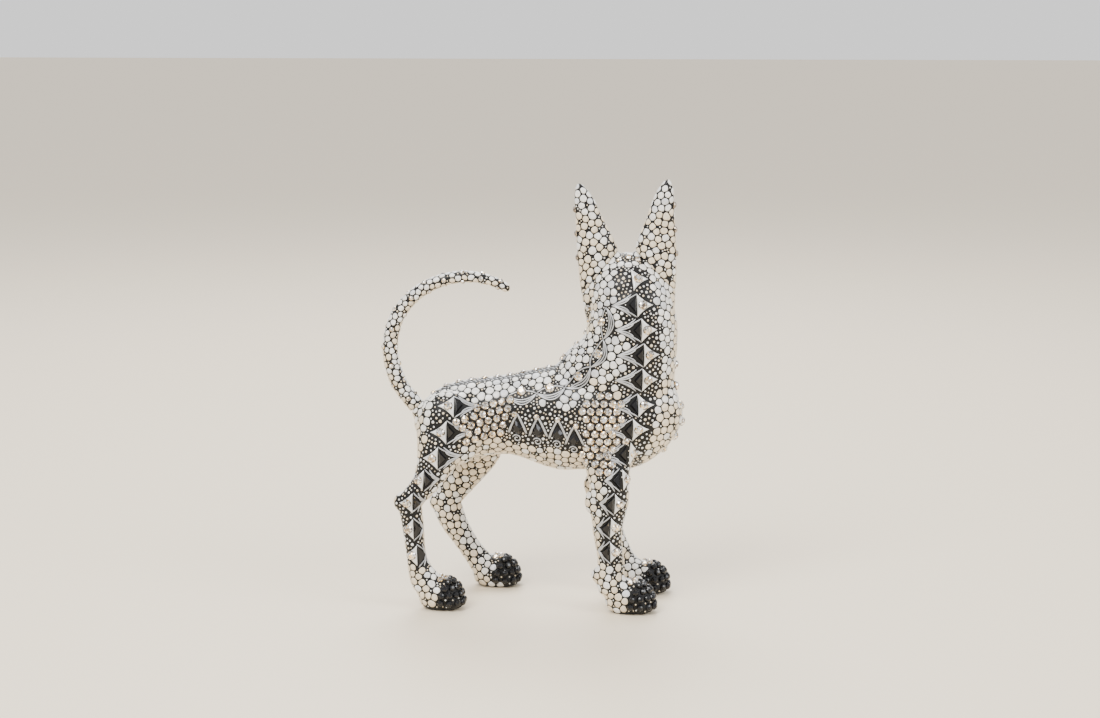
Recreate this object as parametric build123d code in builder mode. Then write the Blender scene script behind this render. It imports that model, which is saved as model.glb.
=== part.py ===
from build123d import *
import math
import os

# A carved, painted wooden dog with flat-backed crystals glued over it. It stands on four
# paws with its head turned square to its left. The ears and the tail are carved apart and
# plug in on round tenons. Millimetres: +X is the way the trunk points, +Y is the dog's own
# left, +Z is up. "Right" and "left" are always the dog's own.

# ---------------------------------------------------------------- driving dimensions

# Trunk, rump to breast: x, height of the middle, half height, half width
TRUNK_RUMP = (-66, 93)
TRUNK_STATIONS = [
    (-58, 91.5, 13.5, 14),
    (-48, 92.5, 18.5, 17),
    (-30, 95.5, 19.5, 16),
    (-10, 96.5, 22, 17.5),
    (10, 95.5, 26.5, 20),
    (30, 96.5, 27.5, 21.5),
    (48, 100.5, 25, 18.5),
    (56, 104.5, 19, 15),
    (62, 108.5, 11.5, 9.5),
]
TRUNK_BREAST = (65, 110)

# Neck, upwards: height, x of the middle, half depth, half width
NECK_STATIONS = [
    (96, 33, 22, 16),
    (114, 34.5, 30.2, 18.5),
    (123, 39.4, 26.4, 19),
    (132, 41.8, 23.5, 18.6),
    (145, 43.2, 21.8, 17.8),
    (156, 42, 19.2, 16.4),
    (164, 40, 12, 10.5),
]

# Head. It has a frame of its own, which faces +Y and leans a little to its left.
HEAD_CENTRE = (41, 4, 157)
HEAD_LEAN = 3
SKULL_RADII = (19.5, 18.5, 19.5)
# Muzzle, forwards: distance ahead, height, half width, half height
MUZZLE_STATIONS = [
    (5, -2, 15, 15),
    (17, -5, 10.5, 10),
    (30, -8, 8, 7.5),
    (40, -10, 6.5, 6),
]
NOSE_AHEAD = 41.5
NOSE_RADIUS = 4.8
CROWN_RADII = (8, 9, 9.5)
CROWN_RISE = 12
BROW_RADII = (5, 5, 4)
BROW_PLACE = (7.5, 13.5, 5.5)

# Ear, upwards in the head's frame: height, distance from the middle, half width, half depth
EAR_ROOT = (-26, 9)
EAR_STATIONS = [
    (-12, 12, 9.3, 5),
    (0, 13, 10.2, 6.5),
    (11, 13.5, 10.5, 6.5),
    (23, 14.6, 10, 5.4),
    (35, 17.2, 7.4, 4.2),
    (47, 19.7, 5, 3),
    (54, 21.6, 2.6, 1.9),
]
EAR_TIP = (57.5, 21.8)
EAR_HOLLOW_WALL = 1.8
EAR_HOLLOW_DEPTH = 4
EAR_HOLLOW_BOTTOM = 21
EAR_SEAT_OUT = 13.6
EAR_SEAT_UP = 12.7
EAR_SEAT_TILT = 48.5

# Tail, from the rump over to the tip: x, height
TAIL_POINTS = [
    (-65.2, 100.2),
    (-69.9, 105.7),
    (-75.3, 114.6),
    (-78.1, 124.8),
    (-78.2, 133.7),
    (-75.1, 144.8),
    (-68.1, 154.6),
    (-57, 162.2),
    (-43, 166),
    (-30, 165),
    (-20, 160.8),
]
TAIL_ROOT_RADIUS = 3.9
TAIL_TIP_RADIUS = 2.1
TAIL_TAPER = 2.2
TAIL_BOSS_LENGTH = 12

# Tenons of the ears and of the tail
EAR_TENON_RADIUS = 3
EAR_TENON_LENGTH = 10
TAIL_TENON_RADIUS = 2.2
TAIL_TENON_LENGTH = 9
TENON_CLEARANCE = 0.05
TENON_END_GAP = 0.5
SEAT_GAP = 0.1

# Legs: x, y, height, half depth, half width, from the body down to the paw
FORE_RIGHT_Y = -16.5
FORE_LEFT_Y = 20
HIND_RIGHT_Y = -16.5
HIND_LEFT_Y = 28
FORE_RIGHT_LEG = [
    (32, -13.5, 84, 13, 8),
    (32, -15, 73, 11, 8.5),
    (33, FORE_RIGHT_Y, 63, 9.6, 8.5),
    (33, FORE_RIGHT_Y, 55, 9, 8),
    (32, FORE_RIGHT_Y, 45, 7.7, 7),
    (32.9, FORE_RIGHT_Y, 32, 6.5, 6.2),
    (33.7, FORE_RIGHT_Y, 22, 6.7, 6.4),
    (37, FORE_RIGHT_Y, 11, 7.5, 7.5),
]
FORE_LEFT_LEG = [
    (31, 14, 84, 13, 8),
    (30, 17, 73, 11, 8.5),
    (30.3, FORE_LEFT_Y, 63, 9.2, 8.5),
    (30.3, FORE_LEFT_Y, 55, 8.7, 8),
    (30, FORE_LEFT_Y, 45, 7.4, 7),
    (32, FORE_LEFT_Y, 32, 6.3, 6.2),
    (36, FORE_LEFT_Y, 21, 6.5, 6.4),
    (42.5, FORE_LEFT_Y, 11, 7.3, 7.5),
]
HIND_RIGHT_THIGH = [
    (-47, -12, 94, 15, 7),
    (-50, -13.5, 86, 14, 8.5),
    (-53.5, -15, 77, 10.5, 8.5),
    (-58, -16, 66.5, 7.2, 7),
    (-64, HIND_RIGHT_Y, 58.5, 5.8, 5.8),
    (-69, HIND_RIGHT_Y, 53.5, 5.2, 5),
]
HIND_RIGHT_SHANK = [
    (-67.5, HIND_RIGHT_Y, 56, 5.4, 5),
    (-66.3, HIND_RIGHT_Y, 47, 5.6, 5),
    (-65.3, HIND_RIGHT_Y, 38, 5.2, 4.9),
    (-64.3, HIND_RIGHT_Y, 28, 4.9, 4.9),
    (-62.8, HIND_RIGHT_Y, 20.5, 5.8, 5.4),
    (-56.5, HIND_RIGHT_Y, 11, 6.5, 6.5),
]
HIND_LEFT_THIGH = [
    (-36, 14, 94, 15, 7),
    (-35, 17, 86, 14, 8.5),
    (-36, 21, 74, 11.5, 8.5),
    (-42, 25, 63, 9.4, 7.8),
    (-49.5, HIND_LEFT_Y - 1, 53, 8.2, 6.8),
    (-54, HIND_LEFT_Y, 47, 7, 6),
]
HIND_LEFT_SHANK = [
    (-55, HIND_LEFT_Y, 49, 6.4, 5.8),
    (-53.2, HIND_LEFT_Y, 41, 7.4, 6),
    (-49.4, HIND_LEFT_Y, 32, 6.6, 5.6),
    (-43.8, HIND_LEFT_Y, 23, 5.6, 5.4),
    (-38.2, HIND_LEFT_Y, 14.8, 5.8, 6),
    (-31.5, HIND_LEFT_Y, 8, 6, 6.5),
]
# Rounded masses on the body and the legs: centre, radii
SHOULDER_MASSES = [((30, -10.5, 92), (15, 12, 21)), ((30, 10.5, 92), (15, 12, 21))]
HAUNCH_MASSES = [((-47, -11.5, 91), (17, 9.5, 19)), ((-40, 13, 89), (17, 11, 19.5))]
ELBOWS = [((25.8, FORE_RIGHT_Y, 56), (5.4, 4.6, 6.8)), ((23.4, FORE_LEFT_Y, 56), (5.4, 4.6, 6.8))]
WRIST_PADS = [((27.6, FORE_RIGHT_Y, 18.5), (3.8, 4.2, 3.8)), ((30.6, FORE_LEFT_Y, 17.5), (3.8, 4.2, 3.8))]
HOCKS = [((-70.6, HIND_RIGHT_Y, 54.4), (4.8, 4.2, 5)), ((-58, HIND_LEFT_Y, 44.6), (5, 4.8, 5))]

# Paws: middle of the sole, radii of the rounded mass, its height over the sole
PAWS = {
    "fore_right": ((43, FORE_RIGHT_Y), (12.3, 9, 9.6)),
    "fore_left": ((49.3, FORE_LEFT_Y), (12.3, 9, 9.6)),
    "hind_right": ((-52, HIND_RIGHT_Y), (11.2, 8.6, 9.4)),
    "hind_left": ((-28.3, HIND_LEFT_Y), (12, 8.8, 9.4)),
}
PAW_MIDDLE_HEIGHT = 6.8
TOE_RADIUS = 3.6
TOE_BEARINGS = (-48, -17, 17, 48)
TOE_REACH = 0.78

# Crystals and stones: girdle radius, height over the girdle
FIELD_CRYSTAL = (1.9, 1.6)
LINE_CRYSTAL = (2.2, 1.9)
SMALL_CRYSTAL = (1.5, 1.3)
TAIL_CRYSTAL = (1.2, 1.1)
SPINE_CRYSTAL = (1.45, 1.4)
TOE_STONE = (1.65, 1.7)
EAR_STONE = (1.7, 1.3)
TRIANGLE_HEIGHT = 1.3
TRIANGLE_LONG = 9.2
TRIANGLE_DEEP = 4.2
DROP_LENGTH = 7.6
DROP_WIDTH = 5.4
DROP_HEIGHT = 1.5
EYE_RADII = (2.8, 2, 1.5)
EYE_PLACE = (9, 0.5)
STONE_SINK = 0.3
STONE_SIDES = 8
TABLE_SHARE = 0.55

# Fields of crystals on the flanks: x, height, half length, half height, rise to the front
FIELD_PITCH = 4.3
SHOULDER_FIELD = (30, 91.5, 14, 19, 0)
HAUNCH_FIELD = (-27.5, 96.5, 18.5, 10.8, 14)
FIELD_CLEARANCE = {"triangles": 5, "drops": 4.9, "crystals": 4}

# Lines of triangles down the legs
FORE_LINE_NUMBER = {"right": 12, "left": 9}
FORE_LINE_NAPE = [(46.1, 167.5), (50.7, 145.3)]
FORE_LINE_BODY = [(52.4, 129), (50.1, 108.1), (45.2, 84.4)]
FORE_LINE_LEG_HEIGHTS = (60, 45, 31.8)
FORE_LINE_AHEAD = (6.2, 4.4, 3.4)
FORE_TRIANGLE_BACK = 5.1
HIND_LINE_NUMBER = 7
HIND_LINE = {
    "right": [
        (-47.2, 104.2), (-50.6, 91.9), (-54, 80.5), (-60.6, 69.3),
        (-67.8, 55.9), (-67.6, 40.6), (-66, 28.1),
    ],
    "left": [
        (-41, 104.2), (-41.5, 92), (-42, 80), (-46.5, 67.5),
        (-55, 54), (-55.2, 40.2), (-47, 25.8),
    ],
}
HIND_TRIANGLE_AHEAD = 5.2

# Low on each flank: the four black drops and the crystals at their tips
DROP_PLACES = [(-13, 92.6, 12), (-2.7, 91.4, 6), (7.1, 90.4, 0), (15.2, 87.6, -8)]
DROP_TIP_RISE = 7.6
GARLAND_PLACES = [(-11.3, 111.1), (3, 113), (17, 119), (26.6, 130.6), (28.2, 146.2)]

# Rows along the middle
SPINE_BACK_START = -57
SPINE_BACK_END = 8
SPINE_BACK_NUMBER = 11
NAPE_HEIGHTS = (127, 133, 139, 145, 151)
CROWN_PLACES = [(-4.6, -5), (0, -5), (4.6, -5)]
BREAST_HEIGHTS = (123, 112.5, 102.5, 94, 86.5, 80)
TAIL_RING_NUMBER = 12
TAIL_RING_STONES = 3
EAR_STONE_HEIGHTS = (20, 32, 44)
PAW_CRYSTAL_BEARINGS = (-55, -18, 18, 55)
PAW_CRYSTAL_RISE = 62
PAW_CRYSTAL_BACK = 3
TOE_STONE_ROWS = [(-14, 86, 9), (10, 82, 9), (32, 72, 7), (52, 48, 4)]

FAR = 200


# ---------------------------------------------------------------- forms

def limb(stations, side=Vector(0, 1, 0), start=None, end=None):
    """A smooth form through ellipses that stand square to its run: x, y, z, depth, width."""
    points = [Vector(*station[:3]) for station in stations]
    sections = [] if start is None else [Vertex(*start)]
    for index, station in enumerate(stations):
        before = points[max(index - 1, 0)]
        after = points[min(index + 1, len(points) - 1)]
        run = (after - before).normalized()
        across = (side - run * side.dot(run)).normalized()
        with BuildSketch(Plane(origin=points[index], x_dir=across, z_dir=run)) as section:
            Ellipse(station[4], station[3])
        sections.append(section.sketch.face())
    if end is not None:
        sections.append(Vertex(*end))
    with BuildPart() as form:
        loft(sections=sections)
    return form.part


def rounded(centre, radii, sideways=False):
    """An egg shape with its three radii along X, Y and Z, its poles upright or sideways."""
    with BuildPart() as form:
        Sphere(1, rotation=(-90 if sideways else 0, 0, 0))
        scale(by=radii)
    return form.part.moved(Location(centre))


def cut_stone(radius, height):
    """A flat-backed stone: a girdle, slanting facets and a flat table."""
    girdle = height * 0.25
    with BuildPart() as stone:
        with BuildSketch():
            RegularPolygon(radius, STONE_SIDES)
        extrude(amount=girdle + STONE_SINK)
        with BuildSketch(Plane.XY.offset(girdle + STONE_SINK)):
            RegularPolygon(radius, STONE_SIDES)
        with BuildSketch(Plane.XY.offset(height + STONE_SINK)):
            RegularPolygon(radius * TABLE_SHARE, STONE_SIDES, rotation=180 / STONE_SIDES)
        loft(ruled=True)
    return stone.part


def triangle_stone(point):
    """A black triangular stone: its long side upright, its blunt point to +X or -X."""
    with BuildPart() as stone:
        with BuildSketch():
            Polygon(
                (-point * TRIANGLE_DEEP / 2, -point * TRIANGLE_LONG / 2),
                (point * TRIANGLE_DEEP / 2, 0),
                (-point * TRIANGLE_DEEP / 2, point * TRIANGLE_LONG / 2),
                align=None,
            )
        extrude(amount=TRIANGLE_HEIGHT + STONE_SINK, taper=24)
    return stone.part


def drop_outline(share, level):
    """The pear-shaped outline of a drop, shrunk by a share and set at a level."""
    belly = DROP_WIDTH / 2
    with BuildSketch(Plane.XY.offset(level)) as outline:
        with BuildLine():
            Spline(
                (0, DROP_LENGTH - belly), (-belly, 0.2), (0, -belly), (belly, 0.2),
                (0, DROP_LENGTH - belly),
                tangents=[(-0.55, -1), (-0.55, 1)],
            )
        make_face()
        scale(by=share)
    return outline.sketch.face()


def drop_stone():
    """A pear-shaped black stone, its point upwards."""
    with BuildPart() as stone:
        loft(sections=[drop_outline(1, 0), drop_outline(1, STONE_SINK + 0.3)], ruled=True)
        loft(
            sections=[
                drop_outline(1, STONE_SINK + 0.3),
                drop_outline(TABLE_SHARE, STONE_SINK + DROP_HEIGHT),
            ],
            ruled=True,
        )
    return stone.part


# ---------------------------------------------------------------- head, ears and tail forms

HEAD_PLACE = Location(HEAD_CENTRE, (0, -HEAD_LEAN, 0))


def ear_blank(side):
    """The whole ear down into the skull, in the head's frame, hollow at the front."""
    stations = [(side * out, 0, up, depth, width) for up, out, width, depth in EAR_STATIONS]
    hollow = [
        (side * out, depth, up, EAR_HOLLOW_DEPTH * depth / EAR_STATIONS[1][3], width - EAR_HOLLOW_WALL)
        for up, out, width, depth in EAR_STATIONS
        if EAR_HOLLOW_BOTTOM < up and width > EAR_HOLLOW_WALL + 1
    ]
    low_up = EAR_HOLLOW_BOTTOM - 6
    low_tip = (side * EAR_SEAT_OUT, EAR_STATIONS[2][3] + 0.5, low_up)
    top_tip = (side * EAR_TIP[1], EAR_STATIONS[-1][3] + 0.3, EAR_TIP[0] - 2)
    across = Vector(side, 0, 0)
    root = (side * EAR_ROOT[1], 0, EAR_ROOT[0])
    with BuildPart() as blank:
        add(limb(stations, across, start=root, end=(side * EAR_TIP[1], 0, EAR_TIP[0])))
        add(limb(hollow, across, start=low_tip, end=top_tip), mode=Mode.SUBTRACT)
    return blank.part


def ear_seat(side):
    """The flat that an ear stands on, in the head's frame, facing outwards."""
    tilt = math.radians(EAR_SEAT_TILT)
    return Plane(
        origin=(side * EAR_SEAT_OUT, 0, EAR_SEAT_UP),
        x_dir=(0, 1, 0),
        z_dir=(side * math.sin(tilt), 0, math.cos(tilt)),
    )


def placed(plane):
    """The same plane carried from the head's frame into the dog's."""
    return Plane(HEAD_PLACE * plane.location)


tail_points = [Vector(x, 0, z) for x, z in TAIL_POINTS]
tail_run = (tail_points[1] - tail_points[0]).normalized()
tail_seat = Plane(origin=tail_points[0], x_dir=(0, 1, 0), z_dir=tail_run)
ear_seats = {"right": ear_seat(1), "left": ear_seat(-1)}
ear_blanks = {"right": ear_blank(1), "left": ear_blank(-1)}

with BuildPart() as head:
    add(rounded((0, 0, 0), SKULL_RADII))
    add(rounded((0, 0, CROWN_RISE), CROWN_RADII))
    add(limb(
        [(0, ahead, up, tall, wide) for ahead, up, wide, tall in MUZZLE_STATIONS],
        Vector(1, 0, 0),
    ))
    nose_middle = (0, NOSE_AHEAD, MUZZLE_STATIONS[-1][1] + 0.6)
    add(rounded(nose_middle, (NOSE_RADIUS,) * 3, sideways=True))
    for side in (-1, 1):
        add(rounded((side * BROW_PLACE[0], BROW_PLACE[1], BROW_PLACE[2]), BROW_RADII))
    for blank in ear_blanks.values():
        add(blank)
    for seat_plane in ear_seats.values():
        split(bisect_by=seat_plane, keep=Keep.BOTTOM)

with BuildPart() as tail_boss:
    with BuildSketch(tail_seat):
        Circle(TAIL_ROOT_RADIUS + 0.15)
    extrude(amount=-TAIL_BOSS_LENGTH, taper=-14)


# ---------------------------------------------------------------- carved body

with BuildPart() as carved_body:
    add(limb(
        [(x, 0, z, tall, wide) for x, z, tall, wide in TRUNK_STATIONS],
        start=(TRUNK_RUMP[0], 0, TRUNK_RUMP[1]),
        end=(TRUNK_BREAST[0], 0, TRUNK_BREAST[1]),
    ))
    add(limb([(x, 0, z, deep, wide) for z, x, deep, wide in NECK_STATIONS]))
    add(head.part.moved(HEAD_PLACE))
    add(tail_boss.part)
    for leg in (FORE_RIGHT_LEG, FORE_LEFT_LEG):
        add(limb(leg))
    for leg in (HIND_RIGHT_THIGH, HIND_RIGHT_SHANK, HIND_LEFT_THIGH, HIND_LEFT_SHANK):
        add(limb(leg))
    for centre, radii in SHOULDER_MASSES + HAUNCH_MASSES:
        add(rounded(centre, radii, sideways=True))
    for centre, radii in ELBOWS + WRIST_PADS + HOCKS:
        add(rounded(centre, radii))
    for (x, y), radii in PAWS.values():
        add(rounded((x, y, PAW_MIDDLE_HEIGHT), radii))
        for bearing in TOE_BEARINGS:
            toe_x = x + radii[0] * TOE_REACH * math.cos(math.radians(bearing))
            toe_y = y + radii[1] * TOE_REACH * math.sin(math.radians(bearing))
            add(rounded((toe_x, toe_y, TOE_RADIUS), (TOE_RADIUS,) * 3))
    split(bisect_by=Plane.XY, keep=Keep.TOP)
    for seat_plane in ear_seats.values():
        with Locations(placed(seat_plane)):
            Cylinder(
                EAR_TENON_RADIUS + TENON_CLEARANCE,
                EAR_TENON_LENGTH + TENON_END_GAP,
                align=(Align.CENTER, Align.CENTER, Align.MAX),
                mode=Mode.SUBTRACT,
            )
    with Locations(tail_seat):
        Cylinder(
            TAIL_TENON_RADIUS + TENON_CLEARANCE,
            TAIL_TENON_LENGTH + TENON_END_GAP,
            align=(Align.CENTER, Align.CENTER, Align.MAX),
            mode=Mode.SUBTRACT,
        )


# ---------------------------------------------------------------- plug-in ears and tail

def tenon(seat_plane, radius, length):
    """A round tenon down from a seat, with the seat's gap added at its root."""
    with BuildPart() as peg:
        with Locations(seat_plane.offset(SEAT_GAP)):
            Cylinder(radius, length + SEAT_GAP, align=(Align.CENTER, Align.CENTER, Align.MAX))
    return peg.part


ears = {}
for name, seat_plane in ear_seats.items():
    with BuildPart() as ear:
        add(ear_blanks[name])
        split(bisect_by=seat_plane.offset(SEAT_GAP), keep=Keep.TOP)
        add(tenon(seat_plane, EAR_TENON_RADIUS, EAR_TENON_LENGTH))
    ears[name] = ear.part.moved(HEAD_PLACE)

with BuildPart() as tail:
    last = len(tail_points) - 1
    tail_stations = []
    for index, point in enumerate(tail_points):
        share = (index / last) ** TAIL_TAPER
        radius = TAIL_ROOT_RADIUS + (TAIL_TIP_RADIUS - TAIL_ROOT_RADIUS) * share
        start_gap = tail_run * SEAT_GAP if index == 0 else Vector(0, 0, 0)
        place = point + start_gap
        tail_stations.append((place.X, place.Y, place.Z, radius, radius))
    add(limb(tail_stations))
    add(rounded(tuple(tail_points[-1]), (TAIL_TIP_RADIUS,) * 3))
    add(tenon(tail_seat, TAIL_TENON_RADIUS, TAIL_TENON_LENGTH))


# ---------------------------------------------------------------- places for the stones

def seat_on(skin, start, towards, up=Vector(0, 0, 1)):
    """The plane on the skin where a line first meets it, facing out, its Y nearest to up."""
    start = Vector(*start)
    towards = Vector(*towards).normalized()
    hits = skin.find_intersection_points(Axis(start, towards))
    ahead = [hit for hit in hits if (hit[0] - start).dot(towards) > 0]
    point, normal = ahead[0]
    if normal.dot(towards) > 0:
        normal = -normal
    y_axis = (up - normal * up.dot(normal)).normalized()
    return Plane(origin=point - normal * STONE_SINK, x_dir=y_axis.cross(normal), z_dir=normal)


def set_stones(stone, planes):
    """One group of like stones, each a solid of its own on its plane."""
    solids = [stone.solid().moved(plane.location) for plane in planes]
    return Part(Compound(children=solids).wrapped)


def field(skin, side, shape, keep_clear):
    """Close-set places inside an oval on one flank, clear of the stones already set."""
    x, z, half_long, half_high, rise = shape
    row_step = FIELD_PITCH * math.sqrt(3) / 2
    rows = int(half_high // row_step)
    columns = int(half_long // FIELD_PITCH) + 1
    slope = math.radians(rise)
    planes = []
    for row in range(-rows, rows + 1):
        for column in range(-columns, columns + 1):
            along = (column + 0.5 * (row % 2)) * FIELD_PITCH
            up = row * row_step
            if (along / half_long) ** 2 + (up / half_high) ** 2 > 1:
                continue
            place_x = x + along * math.cos(slope) - up * math.sin(slope)
            place_z = z + along * math.sin(slope) + up * math.cos(slope)
            plane = seat_on(skin, (place_x, side * FAR, place_z), (0, -side, 0))
            if all(
                (plane.origin - other.origin).length >= FIELD_CLEARANCE[kind]
                for kind, others in keep_clear
                for other in others
            ):
                planes.append(plane)
    return planes


def leg_at(leg, height):
    """How far along X a leg's middle stands at a height."""
    for upper, lower in zip(leg, leg[1:]):
        if upper[2] >= height >= lower[2]:
            share = (upper[2] - height) / (upper[2] - lower[2])
            return upper[0] + (lower[0] - upper[0]) * share
    raise ValueError("the leg doesn't reach that height")


def spaced(points, number):
    """Evenly spaced places along a smooth line through points of x and height."""
    line = Spline([(x, 0, z) for x, z in points])
    return [line @ (index / (number - 1)) for index in range(number)]


def paw_start(paw, bearing, rise, back=0):
    """A far point and the way in from it towards the middle of a paw."""
    (x, y), radii = PAWS[paw]
    turn = math.radians(bearing)
    lift = math.radians(rise)
    out = Vector(
        math.cos(turn) * math.cos(lift),
        math.sin(turn) * math.cos(lift) * radii[1] / radii[0],
        math.sin(lift) * radii[2] / radii[0],
    ).normalized()
    middle = Vector(x - back, y, PAW_MIDDLE_HEIGHT)
    reach = max(radii) + 6
    return middle + out * reach, -out


skin = carved_body.part.solid().shell()
field_stone = cut_stone(*FIELD_CRYSTAL)
line_stone = cut_stone(*LINE_CRYSTAL)
small_stone = cut_stone(*SMALL_CRYSTAL)
tail_stone = cut_stone(*TAIL_CRYSTAL)
spine_stone = cut_stone(*SPINE_CRYSTAL)
toe_stone = cut_stone(*TOE_STONE)
ear_stone = cut_stone(*EAR_STONE)
# Seen from its own side, a stone's X runs to the dog's front on the right and to its rear
# on the left. Fore triangles point to the rear and hind ones to the front.
fore_triangle = {"right": triangle_stone(-1), "left": triangle_stone(1)}
hind_triangle = {"right": triangle_stone(1), "left": triangle_stone(-1)}
drop = drop_stone()


# ---------------------------------------------------------------- groups of stones

groups = {}


for side_name, side, fore_leg in (("right", -1, FORE_RIGHT_LEG), ("left", 1, FORE_LEFT_LEG)):
    inwards = (0, -side, 0)

    fore_points = FORE_LINE_BODY + [
        (leg_at(fore_leg, height) + ahead, height)
        for height, ahead in zip(FORE_LINE_LEG_HEIGHTS, FORE_LINE_AHEAD)
    ]
    if side_name == "right":
        # The head is turned away on this side, so the line goes on up the nape.
        fore_points = FORE_LINE_NAPE + fore_points
    fore_places = spaced(fore_points, FORE_LINE_NUMBER[side_name])
    fore_crystals = [
        seat_on(skin, (place.X, side * FAR, place.Z), inwards) for place in fore_places
    ]
    fore_triangles = [
        seat_on(skin, (place.X - FORE_TRIANGLE_BACK, side * FAR, place.Z), inwards)
        for place in fore_places[1:]
    ]
    groups[f"fore_line_crystals_{side_name}"] = (line_stone, fore_crystals)
    groups[f"fore_line_triangles_{side_name}"] = (fore_triangle[side_name], fore_triangles)

    hind_places = spaced(HIND_LINE[side_name], HIND_LINE_NUMBER)
    hind_crystals = [
        seat_on(skin, (place.X, side * FAR, place.Z), inwards) for place in hind_places
    ]
    hind_triangles = [
        seat_on(skin, (place.X + HIND_TRIANGLE_AHEAD, side * FAR, place.Z), inwards)
        for place in hind_places
    ]
    groups[f"hind_line_crystals_{side_name}"] = (line_stone, hind_crystals)
    groups[f"hind_line_triangles_{side_name}"] = (hind_triangle[side_name], hind_triangles)

    drops = []
    drop_tips = []
    for x, z, turn in DROP_PLACES:
        lean = math.radians(turn)
        drop_up = Vector(-math.sin(lean), 0, math.cos(lean))
        tip = Vector(x, side * FAR, z) + drop_up * DROP_TIP_RISE
        drops.append(seat_on(skin, (x, side * FAR, z), inwards, up=drop_up))
        drop_tips.append(seat_on(skin, tip, inwards))
    groups[f"flank_drops_{side_name}"] = (drop, drops)
    groups[f"flank_tip_crystals_{side_name}"] = (small_stone, drop_tips)
    groups[f"garland_crystals_{side_name}"] = (line_stone, [
        seat_on(skin, (x, side * FAR, z), inwards) for x, z in GARLAND_PLACES
    ])

    keep_clear = [
        ("triangles", fore_triangles + hind_triangles),
        ("drops", drops),
        ("crystals", drop_tips + fore_crystals + hind_crystals),
    ]
    shoulder = field(skin, side, SHOULDER_FIELD, keep_clear)
    haunch = field(skin, side, HAUNCH_FIELD, keep_clear)
    groups[f"shoulder_crystals_{side_name}"] = (field_stone, shoulder)
    groups[f"haunch_crystals_{side_name}"] = (field_stone, haunch)

spine_step = (SPINE_BACK_END - SPINE_BACK_START) / (SPINE_BACK_NUMBER - 1)
groups["spine_crystals"] = (spine_stone, [
    seat_on(skin, (SPINE_BACK_START + index * spine_step, 0, FAR), (0, 0, -1))
    for index in range(SPINE_BACK_NUMBER)
] + [
    seat_on(skin, (-FAR, 0, height), (1, 0, 0)) for height in NAPE_HEIGHTS
] + [
    seat_on(skin, (HEAD_CENTRE[0] + x, HEAD_CENTRE[1] + y, FAR * 2), (0, 0, -1))
    for x, y in CROWN_PLACES
])
groups["breast_crystals"] = (line_stone, [
    seat_on(skin, (FAR, 0, height), (-1, 0, 0)) for height in BREAST_HEIGHTS
])

tail_skin = tail.part.solid().shell()
tail_line = Spline(tail_points)
tail_seats = []
for ring in range(TAIL_RING_NUMBER):
    share = (ring + 0.6) / TAIL_RING_NUMBER
    middle = tail_line @ share
    run = tail_line % share
    outwards = Vector(0, 1, 0).cross(run)
    for stone_number in range(TAIL_RING_STONES):
        turn = math.radians(360 * (stone_number + 0.5 * (ring % 2)) / TAIL_RING_STONES - 90)
        away = Vector(0, 1, 0) * math.sin(turn) + outwards * math.cos(turn)
        start = middle + away * TAIL_ROOT_RADIUS * 3
        tail_seats.append(seat_on(tail_skin, start, -away, up=run))
groups["tail_crystals"] = (tail_stone, tail_seats)

for name, side in (("right", 1), ("left", -1)):
    ear_skin = ears[name].solid().shell()
    seats = []
    for height in EAR_STONE_HEIGHTS:
        start = (HEAD_PLACE * Location((side * FAR / 2, 0, height))).position
        middle = (HEAD_PLACE * Location((0, 0, height))).position
        seats.append(seat_on(ear_skin, start, middle - start))
    groups[f"ear_stones_{name}"] = (ear_stone, seats)

for paw in PAWS:
    groups[f"paw_crystals_{paw}"] = (small_stone, [
        seat_on(skin, *paw_start(paw, bearing, PAW_CRYSTAL_RISE, PAW_CRYSTAL_BACK))
        for bearing in PAW_CRYSTAL_BEARINGS
    ])
    toe_seats = []
    for rise, spread, number in TOE_STONE_ROWS:
        for index in range(number):
            bearing = -spread + 2 * spread * index / (number - 1)
            toe_seats.append(seat_on(skin, *paw_start(paw, bearing, rise)))
    groups[f"toe_stones_{paw}"] = (toe_stone, toe_seats)

with BuildPart() as eyes:
    for side in (-1, 1):
        start = (HEAD_PLACE * Location((side * EYE_PLACE[0], FAR, EYE_PLACE[1]))).position
        eye_seat = seat_on(skin, start, (0, -1, 0))
        egg = rounded((0, 0, STONE_SINK), EYE_RADII)
        add(egg.moved(eye_seat.location))


# ---------------------------------------------------------------- finished pieces

finished = {
    "carved_body": carved_body.part,
    "ear_right": ears["right"],
    "ear_left": ears["left"],
    "tail": tail.part,
    "eyes": eyes.part,
}
for name, (stone, planes) in groups.items():
    finished[name] = set_stones(stone, planes)

# The origin is put under the middle of the whole dog, at the height of its soles.
bounds = Compound(children=[piece.moved(Location()) for piece in finished.values()]).bounding_box()
to_origin = Location((-bounds.center().X, -bounds.center().Y, -bounds.min.Z))

os.makedirs("parts", exist_ok=True)
for name, piece in finished.items():
    standing = piece.moved(to_origin)
    standing.label = name
    export_step(standing, f"parts/{name}.step")

ear_axes = {name: placed(plane) for name, plane in ear_seats.items()}
print("size", bounds.size, "moved by", to_origin.position)
for name, plane in (("ear_right", ear_axes["right"]), ("ear_left", ear_axes["left"]), ("tail", tail_seat)):
    print(name, "seat", plane.origin + to_origin.position, "axis", plane.z_dir)
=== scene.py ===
import itertools
import math
import random

import bpy
import numpy as np
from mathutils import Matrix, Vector
from mathutils.bvhtree import BVHTree
from mathutils.kdtree import KDTree


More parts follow.
